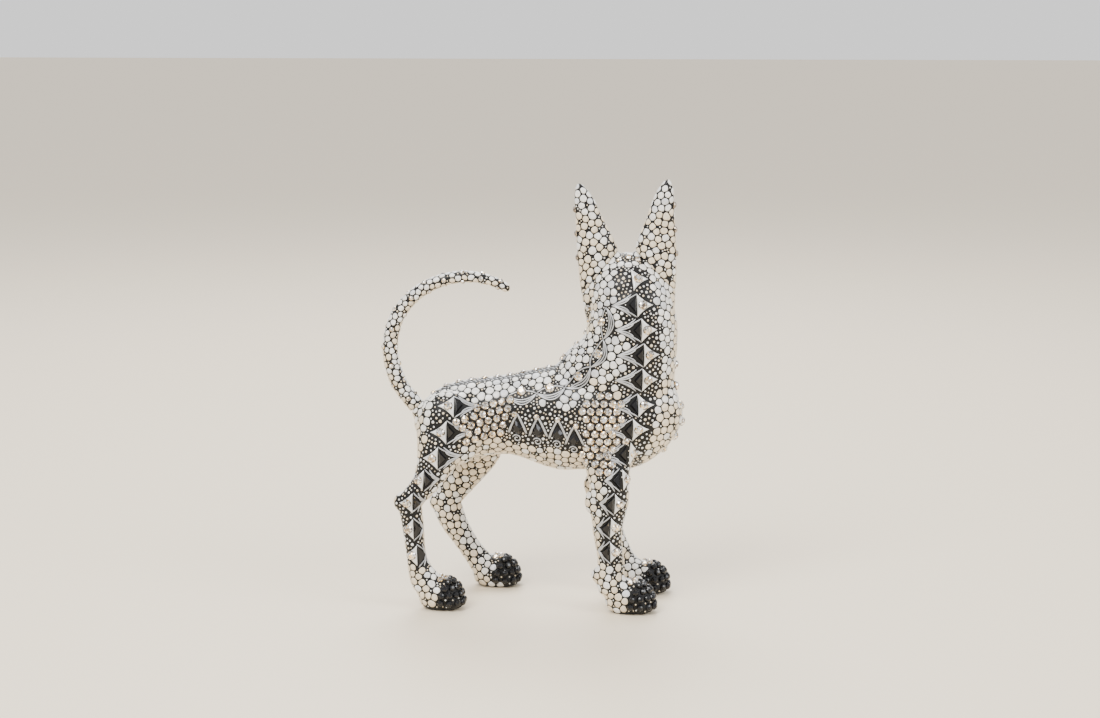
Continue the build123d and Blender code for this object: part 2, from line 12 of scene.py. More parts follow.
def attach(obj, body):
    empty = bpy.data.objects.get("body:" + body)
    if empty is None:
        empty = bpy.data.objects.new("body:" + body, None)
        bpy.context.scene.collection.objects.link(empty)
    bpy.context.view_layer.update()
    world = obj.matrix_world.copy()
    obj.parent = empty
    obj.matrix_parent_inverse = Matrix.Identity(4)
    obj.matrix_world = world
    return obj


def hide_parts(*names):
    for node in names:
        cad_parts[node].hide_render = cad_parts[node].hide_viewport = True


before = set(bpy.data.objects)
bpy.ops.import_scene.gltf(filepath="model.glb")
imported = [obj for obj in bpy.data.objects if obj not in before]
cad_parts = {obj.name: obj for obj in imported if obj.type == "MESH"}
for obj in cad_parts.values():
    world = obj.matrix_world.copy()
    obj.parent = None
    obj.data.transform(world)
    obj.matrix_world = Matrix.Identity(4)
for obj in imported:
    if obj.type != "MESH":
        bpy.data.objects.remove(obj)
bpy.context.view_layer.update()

bl_info = {
    "name": "Painted wooden dog",
    "version": (1, 0, 0),
    "blender": (4, 5, 0),
    "location": "3D View > Sidebar > Painted dog",
    "description": "Paints a carved dog with raised dots and sets its crystals",
    "category": "Object",
}

MM = 0.001
SIDES = {"right": -1, "left": 1}
CARVED = {
    "carved_body": "carving",
    "ear_right": "ear_right",
    "ear_left": "ear_left",
    "tail": "tail",
}
NODE_NAMES = sorted(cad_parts)
CLEAR_GROUPS = [name for name in NODE_NAMES if "crystals" in name]
DARK_GROUPS = [name for name in NODE_NAMES if "toe_stones" in name or "ear_stones" in name]
CUT_GROUPS = [
    name for name in NODE_NAMES if "triangles" in name or "drops" in name or name == "eyes"
]

# Dots stay this far off a seat or a peg
SEAT_REACH = 0.7 * MM
# Shares of two dots' pitches that their middles keep between them
CROWDING = 0.41
# Rings of a raised dot, from its foot up: share of its width, share of its height
CELL_RINGS = ((1.0, -0.12), (0.93, 0.62), (0.66, 1.0))
DOT_RINGS = ((1.0, -0.1), (0.72, 0.75))
# Above this height the leg lines' triangles and fans have their full size
FULL_SIZE_FROM = 0.078

skins = {}
line_points = []
obstacles = []


# ---------------------------------------------------------------- settings

class PaintedDogPaint(bpy.types.PropertyGroup):
    """Sizes and colours of the painted skin."""

    cell_pitch: bpy.props.FloatProperty(
        name="Cell pitch", description="Distance between large dots of paint",
        default=3.9 * MM, unit="LENGTH",
    )
    dot_pitch: bpy.props.FloatProperty(
        name="Dot pitch", description="Distance between small dots of paint",
        default=2.3 * MM, unit="LENGTH",
    )
    cell_gap: bpy.props.FloatProperty(
        name="Gap", description="Black line left between large dots",
        default=0.42 * MM, unit="LENGTH",
    )
    cell_height: bpy.props.FloatProperty(
        name="Cell height", description="How far a large dot stands proud",
        default=0.34 * MM, unit="LENGTH",
    )
    line_radius: bpy.props.FloatProperty(
        name="Line radius", description="Half the width of a raised silver line",
        default=0.33 * MM, unit="LENGTH",
    )
    black: bpy.props.FloatVectorProperty(
        name="Ground", description="Black ground coat", subtype="COLOR", size=3,
        default=(0.004, 0.004, 0.004),
    )
    cream: bpy.props.FloatVectorProperty(
        name="Cream", description="Cream dots", subtype="COLOR", size=3,
        default=(0.80, 0.69, 0.52),
    )
    white: bpy.props.FloatVectorProperty(
        name="White", description="White dots", subtype="COLOR", size=3,
        default=(0.88, 0.87, 0.84),
    )
    silver: bpy.props.FloatVectorProperty(
        name="Silver", description="Silver dots and lines", subtype="COLOR", size=3,
        default=(0.50, 0.51, 0.53),
    )
    pearl: bpy.props.FloatVectorProperty(
        name="Pearl", description="Pearl triangles", subtype="COLOR", size=3,
        default=(0.80, 0.80, 0.79),
    )


class PaintedDogStones(bpy.types.PropertyGroup):
    """Finish of the crystals and of the black stones."""

    clear: bpy.props.FloatVectorProperty(
        name="Clear crystal", description="Foil behind the clear crystals", subtype="COLOR",
        size=3, default=(0.90, 0.87, 0.82),
    )
    smoky: bpy.props.FloatVectorProperty(
        name="Smoky crystal", description="Dark crystals on the ears", subtype="COLOR",
        size=3, default=(0.10, 0.08, 0.06),
    )
    jet: bpy.props.FloatVectorProperty(
        name="Black stone", description="Opaque black stones", subtype="COLOR",
        size=3, default=(0.004, 0.004, 0.005),
    )
    roughness: bpy.props.FloatProperty(
        name="Roughness", description="Polish of the facets", default=0.07, min=0, max=1,
    )


# ---------------------------------------------------------------- meshes

def clear_selection():
    """Nothing selected and nothing active."""
    bpy.ops.object.select_all(action="DESELECT")
    bpy.context.view_layer.objects.active = None


def pick(obj):
    """Only this object selected, and active."""
    clear_selection()
    obj.select_set(True)
    bpy.context.view_layer.objects.active = obj


def new_piece(name, points, faces, material, body, colours=None, smooth=True):
    """A finished piece from points and faces, riding on a body."""
    mesh = bpy.data.meshes.new(name)
    mesh.from_pydata([tuple(point) for point in points], [], faces)
    if colours is not None:
        layer = mesh.color_attributes.new("paint", "FLOAT_COLOR", "POINT")
        flat = np.ones((len(points), 4), np.float32)
        flat[:, :3] = colours
        layer.data.foreach_set("color", flat.ravel())
    mesh.materials.append(material)
    mesh.polygons.foreach_set("use_smooth", [smooth] * len(mesh.polygons))
    mesh.update()
    obj = bpy.data.objects.new(name, mesh)
    bpy.context.scene.collection.objects.link(obj)
    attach(obj, body)
    return obj


def loose_parts(obj):
    """The vertex places of each separate solid in a mesh."""
    mesh = obj.data
    places = np.array([vertex.co for vertex in mesh.vertices])
    keys = {}
    merged = []
    for place in np.round(places, 7):
        merged.append(keys.setdefault(tuple(place), len(keys)))
    parent = list(range(len(keys)))

    def root(index):
        while parent[index] != index:
            parent[index] = parent[parent[index]]
            index = parent[index]
        return index

    for edge in mesh.edges:
        parent[root(merged[edge.vertices[0]])] = root(merged[edge.vertices[1]])
    groups = {}
    for index, place in enumerate(places):
        groups.setdefault(root(merged[index]), []).append(place)
    return [np.array(group) for group in groups.values()]


# ---------------------------------------------------------------- skin

class Skin:
    """The surface of a carved piece, to find places and normals on."""

    def __init__(self, obj):
        mesh = obj.data
        mesh.calc_loop_triangles()
        self.points = np.array([vertex.co for vertex in mesh.vertices])
        self.triangles = np.array([tri.vertices for tri in mesh.loop_triangles])
        self.normals = np.array([vertex.normal for vertex in mesh.vertices])
        self.tree = BVHTree.FromPolygons(
            [tuple(point) for point in self.points], [tuple(tri) for tri in self.triangles]
        )

    def near(self, point):
        """The nearest skin place and its smooth outward normal."""
        place, normal, index, distance = self.tree.find_nearest(Vector(point))
        corners = self.normals[self.triangles[index]]
        smooth = Vector(corners.mean(axis=0)).normalized()
        return place, smooth

    def lift(self, point, height):
        """A place this high over the nearest skin."""
        place, normal = self.near(point)
        return place + normal * height


def frame_at(normal, up):
    """Two directions along the skin: across and up."""
    upward = (up - normal * up.dot(normal)).normalized()
    return upward.cross(normal), upward


def bezier(start, control, end, count):
    """Points on a curve with one control point, in two numbers."""
    shares = [index / (count - 1) for index in range(count)]
    return [
        tuple(
            (1 - t) ** 2 * start[axis] + 2 * t * (1 - t) * control[axis] + t * t * end[axis]
            for axis in (0, 1)
        )
        for t in shares
    ]


# ---------------------------------------------------------------- materials

def principled(name, **values):
    """A new material with its main values set on the shader's own sockets."""
    material = bpy.data.materials.new(name)
    material.use_nodes = True
    shader = material.node_tree.nodes["Principled BSDF"]
    for key, value in values.items():
        socket = shader.inputs[key.replace("_", " ")]
        socket.default_value = (*value, 1) if key == "Base_Color" else value
    return material, material.node_tree, shader


def add_bump(tree, shader, scale, strength, distance, detail=3):
    """Fine unevenness of hand-laid paint."""
    coordinates = tree.nodes.new("ShaderNodeTexCoord")
    noise = tree.nodes.new("ShaderNodeTexNoise")
    noise.inputs["Scale"].default_value = scale
    noise.inputs["Detail"].default_value = detail
    bump = tree.nodes.new("ShaderNodeBump")
    bump.inputs["Strength"].default_value = strength
    bump.inputs["Distance"].default_value = distance
    tree.links.new(coordinates.outputs["Object"], noise.inputs["Vector"])
    tree.links.new(noise.outputs["Fac"], bump.inputs["Height"])
    tree.links.new(bump.outputs["Normal"], shader.inputs["Normal"])
    return noise


def ground_coat(paint):
    """Glossy black paint over sanded wood."""
    material, tree, shader = principled(
        "ground_coat", Base_Color=paint.black, Roughness=0.42, Specular_IOR_Level=0.22,
    )
    noise = add_bump(tree, shader, 900, 0.25, 0.0002)
    ramp = tree.nodes.new("ShaderNodeValToRGB")
    ramp.color_ramp.elements[0].color = (*paint.black, 1)
    ramp.color_ramp.elements[1].color = (*[value * 2.4 for value in paint.black], 1)
    tree.links.new(noise.outputs["Fac"], ramp.inputs["Fac"])
    tree.links.new(ramp.outputs["Color"], shader.inputs["Base Color"])
    return material


def dot_paint(name, roughness, metallic):
    """Thick paint that takes its colour from each dot and mottles it a little."""
    material, tree, shader = principled(
        name, Roughness=roughness, Metallic=metallic, Coat_Weight=0.35, Coat_Roughness=0.2,
    )
    noise = add_bump(tree, shader, 700, 0.35, 0.00025, 4)
    attribute = tree.nodes.new("ShaderNodeAttribute")
    attribute.attribute_name = "paint"
    mottle = tree.nodes.new("ShaderNodeMix")
    mottle.data_type = "RGBA"
    mottle.blend_type = "MULTIPLY"
    mottle.inputs["Factor"].default_value = 1
    ramp = tree.nodes.new("ShaderNodeValToRGB")
    ramp.color_ramp.elements[0].position = 0.3
    ramp.color_ramp.elements[0].color = (0.80, 0.78, 0.75, 1)
    ramp.color_ramp.elements[1].position = 0.62
    ramp.color_ramp.elements[1].color = (1, 1, 1, 1)
    tree.links.new(noise.outputs["Fac"], ramp.inputs["Fac"])
    tree.links.new(attribute.outputs["Color"], mottle.inputs["A"])
    tree.links.new(ramp.outputs["Color"], mottle.inputs["B"])
    tree.links.new(mottle.outputs["Result"], shader.inputs["Base Color"])
    return material


def facet_finish(name, roughness, metallic):
    """Polished facets, each with its own brightness: the facet colours are painted reflections."""
    material, tree, shader = principled(
        name, Roughness=roughness, Metallic=metallic, Coat_Weight=1, Coat_Roughness=0.03,
    )
    attribute = tree.nodes.new("ShaderNodeAttribute")
    attribute.attribute_name = "paint"
    tree.links.new(attribute.outputs["Color"], shader.inputs["Base Color"])
    return material


def jet_finish(stones):
    """Opaque black glass with faint depth."""
    material, tree, shader = principled(
        "jet_finish", Base_Color=stones.jet, Roughness=stones.roughness, Specular_IOR_Level=0.4,
    )
    add_bump(tree, shader, 500, 0.06, 0.0002, 1)
    return material


# ---------------------------------------------------------------- carving

class PAINTEDDOG_OT_carving(bpy.types.Operator):
    """Smooth the carved body, ears and tail and coat them black"""

    bl_idname = "painteddog.carving"
    bl_label = "Coat the carving"

    def execute(self, context):
        paint = context.scene.painteddog_paint
        material = ground_coat(paint)
        for node, body in CARVED.items():
            clear_selection()
            pick(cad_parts[node])
            bpy.ops.object.duplicate()
            copy = context.view_layer.objects.active
            copy.name = node + "_skin"
            for key in list(copy.keys()):
                del copy[key]
            bpy.ops.object.mode_set(mode="EDIT")
            bpy.ops.mesh.select_all(action="SELECT")
            bpy.ops.mesh.remove_doubles(threshold=0.00002)
            bpy.ops.object.mode_set(mode="OBJECT")
            remesh = copy.modifiers.new("Remesh", "REMESH")
            remesh.mode = "VOXEL"
            remesh.voxel_size = (0.95 if node == "carved_body" else 0.6) * MM
            smooth = copy.modifiers.new("Smooth", "SMOOTH")
            smooth.factor = 0.5
            smooth.iterations = 14 if node == "carved_body" else 5
            for name in ("Remesh", "Smooth"):
                bpy.ops.object.modifier_apply(modifier=name)
            bpy.ops.object.shade_smooth()
            copy.data.materials.clear()
            copy.data.materials.append(material)
            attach(copy, body)
            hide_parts(node)
            skins[node] = Skin(copy)
        return {"FINISHED"}


def stones_of(node):
    """Middle, skin place, normal and half width of each stone in a CAD group."""
    if node.startswith("ear_stones"):
        skin_name = node.replace("_stones", "")
    elif node == "tail_crystals":
        skin_name = "tail"
    else:
        skin_name = "carved_body"
    found = []
    for part in loose_parts(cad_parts[node]):
        middle = Vector((part.min(axis=0) + part.max(axis=0)) / 2)
        place, normal = skins[skin_name].near(middle)
        flat = part - np.outer((part - np.array(place)) @ np.array(normal), np.array(normal))
        reach = np.linalg.norm(flat - np.array(place), axis=1).max()
        found.append((middle, place, normal, reach))
    return found


# ---------------------------------------------------------------- raised lines

def add_line(skin, flat_points, place, normal, up, paths):
    """A curve drawn in a stone's own plane, laid on the skin."""
    across, upward = frame_at(normal, up)
    path = []
    for x, y in flat_points:
        point = place + across * (x * MM) + upward * (y * MM)
        path.append(skin.near(point))
    paths.append(path)


def tube(paths, radius, sides=6):
    """Low round ridges along paths of places and normals."""
    points = []
    faces = []
    for path in paths:
        start = len(points)
        places = [place for place, normal in path]
        count = len(path)
        for index, (place, normal) in enumerate(path):
            run = (places[min(index + 1, count - 1)] - places[max(index - 1, 0)]).normalized()
            across = run.cross(normal).normalized()
            end = min(index, count - 1 - index)
            width = radius * (0.45 if end == 0 else 0.85 if end == 1 else 1)
            for corner in range(sides):
                turn = 2 * math.pi * corner / sides
                out = across * (math.cos(turn) * width) + normal * (math.sin(turn) * width * 0.9)
                points.append(place + normal * radius * 0.25 + out)
        for index in range(count - 1):
            for corner in range(sides):
                after = (corner + 1) % sides
                low = start + index * sides
                high = low + sides
                faces.append((low + corner, low + after, high + after, high + corner))
        last = start + (count - 1) * sides
        faces.append(tuple(range(start + sides - 1, start - 1, -1)))
        faces.append(tuple(range(last, last + sides)))
    return points, faces


def fan_lines(skin, place, normal, up, towards, long, paths):
    """Four raised arcs that run together into the point of one black triangle."""
    for start_y, start_x, bend in (
        (5.9, -2.2, 1.9), (-5.9, -2.2, -1.9), (5.6, 0.8, 2.6), (-5.6, 0.8, -2.6), (3.4, 1.6, 0.3),
        (-3.4, 1.6, -0.3),
    ):
        curve = bezier((start_x, start_y), (long * 0.28, bend), (long, 0), 12)
        add_line(skin, [(towards * x, y) for x, y in curve], place, normal, up, paths)


class PAINTEDDOG_OT_lines(bpy.types.Operator):
    """Draw the fans, the garland, the leaves and the back braid in raised silver"""

    bl_idname = "painteddog.lines"
    bl_label = "Draw raised lines"

    def execute(self, context):
        paint = context.scene.painteddog_paint
        skin = skins["carved_body"]
        paths = []
        up = Vector((0, 0, 1))
        for side_name, side in SIDES.items():
            for line, forward in (("fore", -1), ("hind", 1)):
                for middle, place, normal, reach in stones_of(f"{line}_line_triangles_{side_name}"):
                    long = 11.5 if place.z > FULL_SIZE_FROM else 6.2
                    towards = -forward * side
                    fan_lines(skin, place, normal, up, towards, long, paths)
            self.garland(skin, side_name, side, paths)
            self.leaves(skin, side_name, side, paths)
        self.braid(skin, paths)
        points, faces = tube(paths, paint.line_radius)
        material, tree, shader = principled(
            "silver_line", Base_Color=paint.silver, Roughness=0.32, Metallic=0.55,
            Coat_Weight=0.4,
        )
        add_bump(tree, shader, 800, 0.3, 0.0002)
        new_piece("silver_lines", points, faces, material, "carving")
        for path in paths:
            line_points.extend(place for place, normal in path)
        return {"FINISHED"}

    def garland(self, skin, side_name, side, paths):
        """Nested scallops from crystal to crystal along the flank and up the neck."""
        stones = sorted(
            (place for middle, place, normal, reach in stones_of(f"garland_crystals_{side_name}")),
            key=lambda place: place.x + place.z,
        )
        cusps = [stones[0] * 1.5 - stones[1] * 0.5]
        cusps += [(low + high) / 2 for low, high in zip(stones, stones[1:])]
        cusps.append(stones[-1] * 1.5 - stones[-2] * 0.5)
        for start, end in zip(cusps, cusps[1:]):
            chord = end - start
            below = Vector((chord.z, 0, -chord.x)).normalized()
            for depth in (7.4, 5.7, 4.0, -3.6):
                path = []
                for step in range(15):
                    t = step / 14
                    sag = math.sin(math.pi * t) ** 0.8 * depth * 0.8 * MM
                    point = start + chord * t + below * sag
                    path.append(skin.near(point + Vector((0, side * 0.004, 0))))
                paths.append(path)

    def leaves(self, skin, side_name, side, paths):
        """A pointed leaf round each black drop, with a curl below it."""
        for middle, place, normal, reach in stones_of(f"flank_drops_{side_name}"):
            up = Vector((0, 0, 1))
            mirror = -side
            for wide, tall in ((0, 0), (0.55, 0.5)):
                for flank in (-1, 1):
                    waist = (flank * (2.2 + wide), 2.4)
                    foot = (flank * (4.3 + wide), -3.4)
                    curve = bezier((0, 6.2 + tall), waist, foot, 12)
                    add_line(skin, [(mirror * x, y) for x, y in curve], place, normal, up, paths)
            curl = []
            for step in range(22):
                turn = math.pi * 0.9 - step / 21 * 2.7 * math.pi
                radius = 2.3 * (1 - step / 27)
                across = -0.6 + radius * math.cos(turn)
                curl.append((mirror * across, -6.4 + radius * math.sin(turn)))
            add_line(skin, curl, place, normal, up, paths)

    def braid(self, skin, paths):
        """Short slanting strokes each side of the crystals along the back."""
        back = sorted(
            (item for item in stones_of("spine_crystals") if item[1].z < 0.128),
            key=lambda item: item[1].x,
        )
        for first, second in zip(back, back[1:]):
            for side in (-1, 1):
                for share in (0.1, 0.43, 0.76):
                    base = first[1].lerp(second[1], share)
                    path = []
                    for step in range(6):
                        t = step / 5
                        point = base + Vector((0.0024 * t, side * (0.0021 + 0.0026 * t), 0))
                        path.append(skin.near(point))
                    paths.append(path)


# ---------------------------------------------------------------- pearl triangles

class PAINTEDDOG_OT_pearls(bpy.types.Operator):
    """Lay a pearl triangle with hollow sides under each crystal of the leg lines"""

    bl_idname = "painteddog.pearls"
    bl_label = "Lay pearl triangles"

    def execute(self, context):
        paint = context.scene.painteddog_paint
        skin = skins["carved_body"]
        points = []
        faces = []
        for side_name, side in SIDES.items():
            for line, forward in (("fore", 1), ("hind", -1)):
                towards = -forward * side
                for middle, place, normal, reach in stones_of(f"{line}_line_crystals_{side_name}"):
                    self.triangle(skin, place, normal, towards, points, faces)
        material, tree, shader = principled(
            "pearl_paint", Base_Color=paint.pearl, Roughness=0.28, Metallic=0.3,
            Coat_Weight=0.6, Sheen_Weight=0.2,
        )
        add_bump(tree, shader, 600, 0.3, 0.0003)
        new_piece("pearl_triangles", points, faces, material, "carving")
        return {"FINISHED"}

    def triangle(self, skin, place, normal, towards, points, faces):
        """One raised triangle: a straight side by the black stone and a point away from it."""
        back = -2.9
        tall = 6.0 if place.z > FULL_SIZE_FROM else 5.4
        point = 5.6 if place.z > FULL_SIZE_FROM else 4.4
        outline = bezier((back, -tall), (0.6, -1.6), (point, 0), 9)[:-1]
        outline += bezier((point, 0), (0.6, 1.6), (back, tall), 9)[:-1]
        outline += [(back, tall * (1 - 2 * step / 8)) for step in range(8)]
        across, upward = frame_at(normal, Vector((0, 0, 1)))
        start = len(points)
        for share, height in ((1.0, -0.1), (0.94, 0.3), (0.72, 0.5)):
            for x, y in outline:
                x = (x - 0.2) * share + 0.2
                flat = place + across * (towards * x * MM) + upward * (y * share * MM)
                points.append(skin.lift(flat, height * MM))
        points.append(skin.lift(place, 0.55 * MM))
        count = len(outline)
        for ring in range(2):
            for index in range(count):
                after = (index + 1) % count
                low = start + ring * count
                quad = (low + index, low + after, low + count + after, low + count + index)
                faces.append(quad if towards > 0 else quad[::-1])
        top = start + 2 * count
        for index in range(count):
            after = (index + 1) % count
            tri = (top + index, top + after, start + 3 * count)
            faces.append(tri if towards > 0 else tri[::-1])
        for x, y in outline[::2]:
            flat = place + across * (towards * x * MM) + upward * (y * MM)
            obstacles.append((flat, 0.9 * MM))


# ---------------------------------------------------------------- crystals

def cut_master(name, sides, table, crown):
    """One flat-backed stone of radius 1, its facets cut in edit mode: places and faces."""
    clear_selection()
    bpy.ops.mesh.primitive_circle_add(vertices=sides, radius=1, fill_type="NGON")
    stone = bpy.context.view_layer.objects.active
    stone.name = name
    bpy.ops.object.mode_set(mode="EDIT")
    bpy.ops.mesh.select_mode(type="FACE")
    bpy.ops.mesh.select_all(action="SELECT")
    tiers = ((0.28, 1.0, 0), (0.34, crown, math.pi / sides), (0.22, table / crown, 0))
    for rise, share, turn in tiers:
        bpy.ops.mesh.extrude_region_move(TRANSFORM_OT_translate={"value": (0, 0, rise)})
        bpy.ops.transform.resize(value=(share, share, 1))
        if turn:
            bpy.ops.transform.rotate(value=turn, orient_axis="Z", center_override=(0, 0, 0))
    bpy.ops.mesh.select_all(action="SELECT")
    bpy.ops.mesh.quads_convert_to_tris(quad_method="FIXED", ngon_method="BEAUTY")
    bpy.ops.mesh.tris_convert_to_quads(face_threshold=0.02, shape_threshold=0.02)
    bpy.ops.mesh.normals_make_consistent(inside=False)
    bpy.ops.object.mode_set(mode="OBJECT")
    places = np.array([vertex.co for vertex in stone.data.vertices])
    faces = [tuple(face.vertices) for face in stone.data.polygons]
    faces.sort(key=lambda face: tuple(places[list(face)].mean(axis=0).round(4)))
    bpy.data.objects.remove(stone)
    return places, faces


def set_group(node, master, tall, facet_colours_and_reflections, material, body, rng):
    """Copies of one cut stone where the CAD group has its stones."""
    places, faces = master
    points = []
    all_faces = []
    colours = []
    for middle, place, normal, reach in stones_of(node):
        across, upward = frame_at(normal, Vector((0.3, 0.2, 1)))
        turn = rng.uniform(0, math.pi)
        tilt = Vector((rng.uniform(-1, 1), rng.uniform(-1, 1), rng.uniform(-1, 1))) * 0.06
        up = (normal + tilt).normalized()
        across = (across * math.cos(turn) + upward * math.sin(turn))
        across = (across - up * across.dot(up)).normalized()
        upward = up.cross(across)
        seat = place - up * (0.12 * MM)
        for face in faces:
            start = len(points)
            for index in face:
                x, y, z = places[index]
                points.append(
                    seat + across * (x * reach) + upward * (y * reach) + up * (z * reach * tall)
                )
            all_faces.append(tuple(range(start, start + len(face))))
            # Each facet takes one of the given colours: painted reflections on the clear and smoky
            # stones, the stone's own colour on the black ones.
            tint = rng.choice(facet_colours_and_reflections)
            shade = rng.uniform(0.85, 1.1)
            colours.extend([[min(1, value * shade) for value in tint]] * len(face))
        obstacles.append((place, reach + 0.15 * MM))
    piece = new_piece(node + "_cut", points, all_faces, material, body, colours, False)
    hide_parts(node)
    return piece


class PAINTEDDOG_OT_crystals(bpy.types.Operator):
    """Cut and set every clear crystal, dark ear stone and black stone"""

    bl_idname = "painteddog.crystals"
    bl_label = "Set the crystals"

    def execute(self, context):
        stones = context.scene.painteddog_stones
        rng = random.Random(7)
        master = cut_master("clear_stone", 12, 0.46, 0.8)
        jet_master = cut_master("jet_stone", 8, 0.4, 0.78)
        clear = facet_finish("clear_crystal", stones.roughness, 0.9)
        smoky = facet_finish("smoky_crystal", stones.roughness, 0.5)
        jet = jet_finish(stones)
        # Clear crystal facets: the foil colour, then white, half-bright, amber and dark brown
        # facets, which are painted reflections and glints.
        bright = tuple(stones.clear)
        facet_colours_and_reflections = [
            bright, (1, 1, 1), tuple(value * 0.55 for value in bright),
            (0.95, 0.68, 0.34), (0.16, 0.12, 0.09), (0.30, 0.24, 0.18),
        ]
        for node in CLEAR_GROUPS:
            body = "tail" if node == "tail_crystals" else "carving"
            set_group(node, master, 0.95, facet_colours_and_reflections, clear, body, rng)
        for node in DARK_GROUPS:
            if node.startswith("ear_stones"):
                body = node.replace("_stones", "")
                # The smoky stones' lighter facets, four times their colour, are painted
                # reflections.
                dark = tuple(stones.smoky)
                set_group(node, master, 0.9, [dark, tuple(v * 4 for v in dark)], smoky,
                          body, rng)
            else:
                tint = tuple(stones.jet)
                set_group(node, jet_master, 1.15, [tint], jet, "carving", rng)
        for node in CUT_GROUPS:
            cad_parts[node].data.materials.clear()
            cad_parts[node].data.materials.append(jet)
            for middle, place, normal, reach in stones_of(node):
                across, upward = frame_at(normal, Vector((0, 0, 1)))
                for part in (-0.55, 0, 0.55):
                    obstacles.append((place + upward * (part * reach), reach * 0.6))
        return {"FINISHED"}


# ---------------------------------------------------------------- painted dots

class Layout:
    """What kind of dot belongs where on the body, worked out from the stones."""

    def __init__(self):
        self.lines = {}
        self.drops = {}
        for side in SIDES:
            for line in ("fore", "hind"):
                places = [item[1] for item in stones_of(f"{line}_line_crystals_{side}")]
                places.sort(key=lambda place: place.z)
                self.lines[line, side] = (
                    [place.z for place in places], [place.x for place in places],
                )
            drops = [item[1] for item in stones_of(f"flank_drops_{side}")]
            drops.sort(key=lambda place: place.x)
            self.drops[side] = ([p.x for p in drops], [p.z for p in drops])
        self.floor = 2.2 * MM
        self.spine_y = float(np.mean([item[1].y for item in stones_of("spine_crystals")]))
        nose = max(skins["carved_body"].points, key=lambda point: point[1])
        self.nose = Vector(nose)

    def kind(self, place, normal):
        """Cell, dot or bare, with a colour family."""
        x, y, z = place
        if z < self.floor or (place - self.nose).length < 5.5 * MM:
            return "bare", "cream"
        side = "right" if y < self.spine_y else "left"
        outward = normal.y * SIDES[side]
        if outward > 0.3:
            for line, forward in (("fore", 1), ("hind", -1)):
                heights, xs = self.lines[line, side]
                if heights[0] - 5 * MM < z < heights[-1] + 4 * MM:
                    off = forward * (x - float(np.interp(z, heights, xs)))
                    wide = 11 * MM if z > FULL_SIZE_FROM else 8 * MM
                    if -wide < off < 6.2 * MM:
                        return "dot", "cream"
            xs, zs = self.drops[side]
            if xs[0] - 7 * MM < x < xs[-1] + 4 * MM:
                off = z - float(np.interp(x, xs, zs))
                if -8.5 * MM < off < 13 * MM:
                    return "dot", "cream"
                if 13 * MM <= off < 22 * MM:
                    return "cell", "silver"
        if 0.118 < z < 0.165 and outward > 0.5 and x > 0.03:
            return "cell", "mixed"
        # Cells facing upward are white; the rest are cream, painted warm reflected light on the
        # sides and underside.
        return "cell", "white" if normal.z > 0.25 else "cream"


def scatter(skin, pitch_of, blocked, rng, density):
    """Close-set places on a skin, each with its own pitch, clear of what blocks it."""
    corners = skin.points[skin.triangles]
    areas = np.linalg.norm(
        np.cross(corners[:, 1] - corners[:, 0], corners[:, 2] - corners[:, 0]), axis=1
    ) / 2
    count = int(areas.sum() * density)
    chosen = rng.choice(len(areas), count, p=areas / areas.sum())
    mix = rng.random((count, 2))
    flip = mix.sum(axis=1) > 1
    mix[flip] = 1 - mix[flip]
    spots = corners[chosen, 0] + mix[:, :1] * (corners[chosen, 1] - corners[chosen, 0]) \
        + mix[:, 1:] * (corners[chosen, 2] - corners[chosen, 0])
    cell = 4.2 * MM
    grid = {}
    kept = []
    for spot, index in zip(spots, chosen):
        normal = Vector(skin.normals[skin.triangles[index]].mean(axis=0)).normalized()
        place = Vector(spot)
        kind, family, pitch = pitch_of(place, normal)
        if kind == "bare" or blocked(place, pitch):
            continue
        key = tuple(int(value // cell) for value in spot)
        clash = any(
            (other - place).length < CROWDING * (pitch + other_pitch)
            for shift in itertools.product((-1, 0, 1), repeat=3)
            for other, other_pitch in grid.get(tuple(map(sum, zip(key, shift))), ())
        )
        if not clash:
            grid.setdefault(key, []).append((place, pitch))
            kept.append([place, pitch, kind, family])
    return kept


def relax(skin, kept, blockers, rounds):
    """Pushes crowded neighbours apart so that the dots pack evenly."""
    for turn in range(rounds):
        tree = KDTree(len(kept))
        for index, item in enumerate(kept):
            tree.insert(item[0], index)
        tree.balance()
        moved = []
        for index, item in enumerate(kept):
            place, pitch = item[0], item[1]
            push = Vector()
            for other, other_index, distance in tree.find_range(place, pitch * 1.25):
                want = (pitch + kept[other_index][1]) * 0.51
                if other_index != index and 1e-7 < distance < want:
                    push += (place - other) * ((want - distance) / distance * 0.42)
            for spot, reach in blockers(place, pitch):
                distance = (place - spot).length
                want = reach + pitch * 0.45
                if 1e-7 < distance < want:
                    push += (place - spot) * ((want - distance) / distance * 0.5)
            if push.length > pitch * 0.3:
                push = push.normalized() * pitch * 0.3
            moved.append(skin.near(place + push)[0])
        for item, place in zip(kept, moved):
            item[0] = place
    return kept


def hidden(node, place):
    """True on a peg, in a socket, or on a seat that another piece covers."""
    for other, other_skin in skins.items():
        if other == node or "carved_body" not in (other, node):
            continue
        near, normal = other_skin.near(place)
        off = place - near
        if off.length < SEAT_REACH or (other == "carved_body" and off.dot(normal) < 0):
            return True
    return False


def fill_gaps(skin, kept, blocked, layout, rng, node):
    """Small dots wherever the large ones leave bare ground."""
    tree = KDTree(len(kept))
    for index, item in enumerate(kept):
        tree.insert(item[0], index)
    tree.balance()
    small = 1.5 * MM

    def room(place, normal):
        kind, family = layout.kind(place, normal) if node == "carved_body" else ("dot", "cream")
        for other, index, distance in tree.find_range(place, 3.4 * MM):
            share = 0.5 if kept[index][2] == "cell" else 0.42
            if distance < kept[index][1] * share + small * 0.42:
                return "bare", family, small
        if kind == "bare" or hidden(node, place):
            return "bare", family, small
        return "dot", family, small

    return scatter(skin, room, blocked, rng, 3e6)


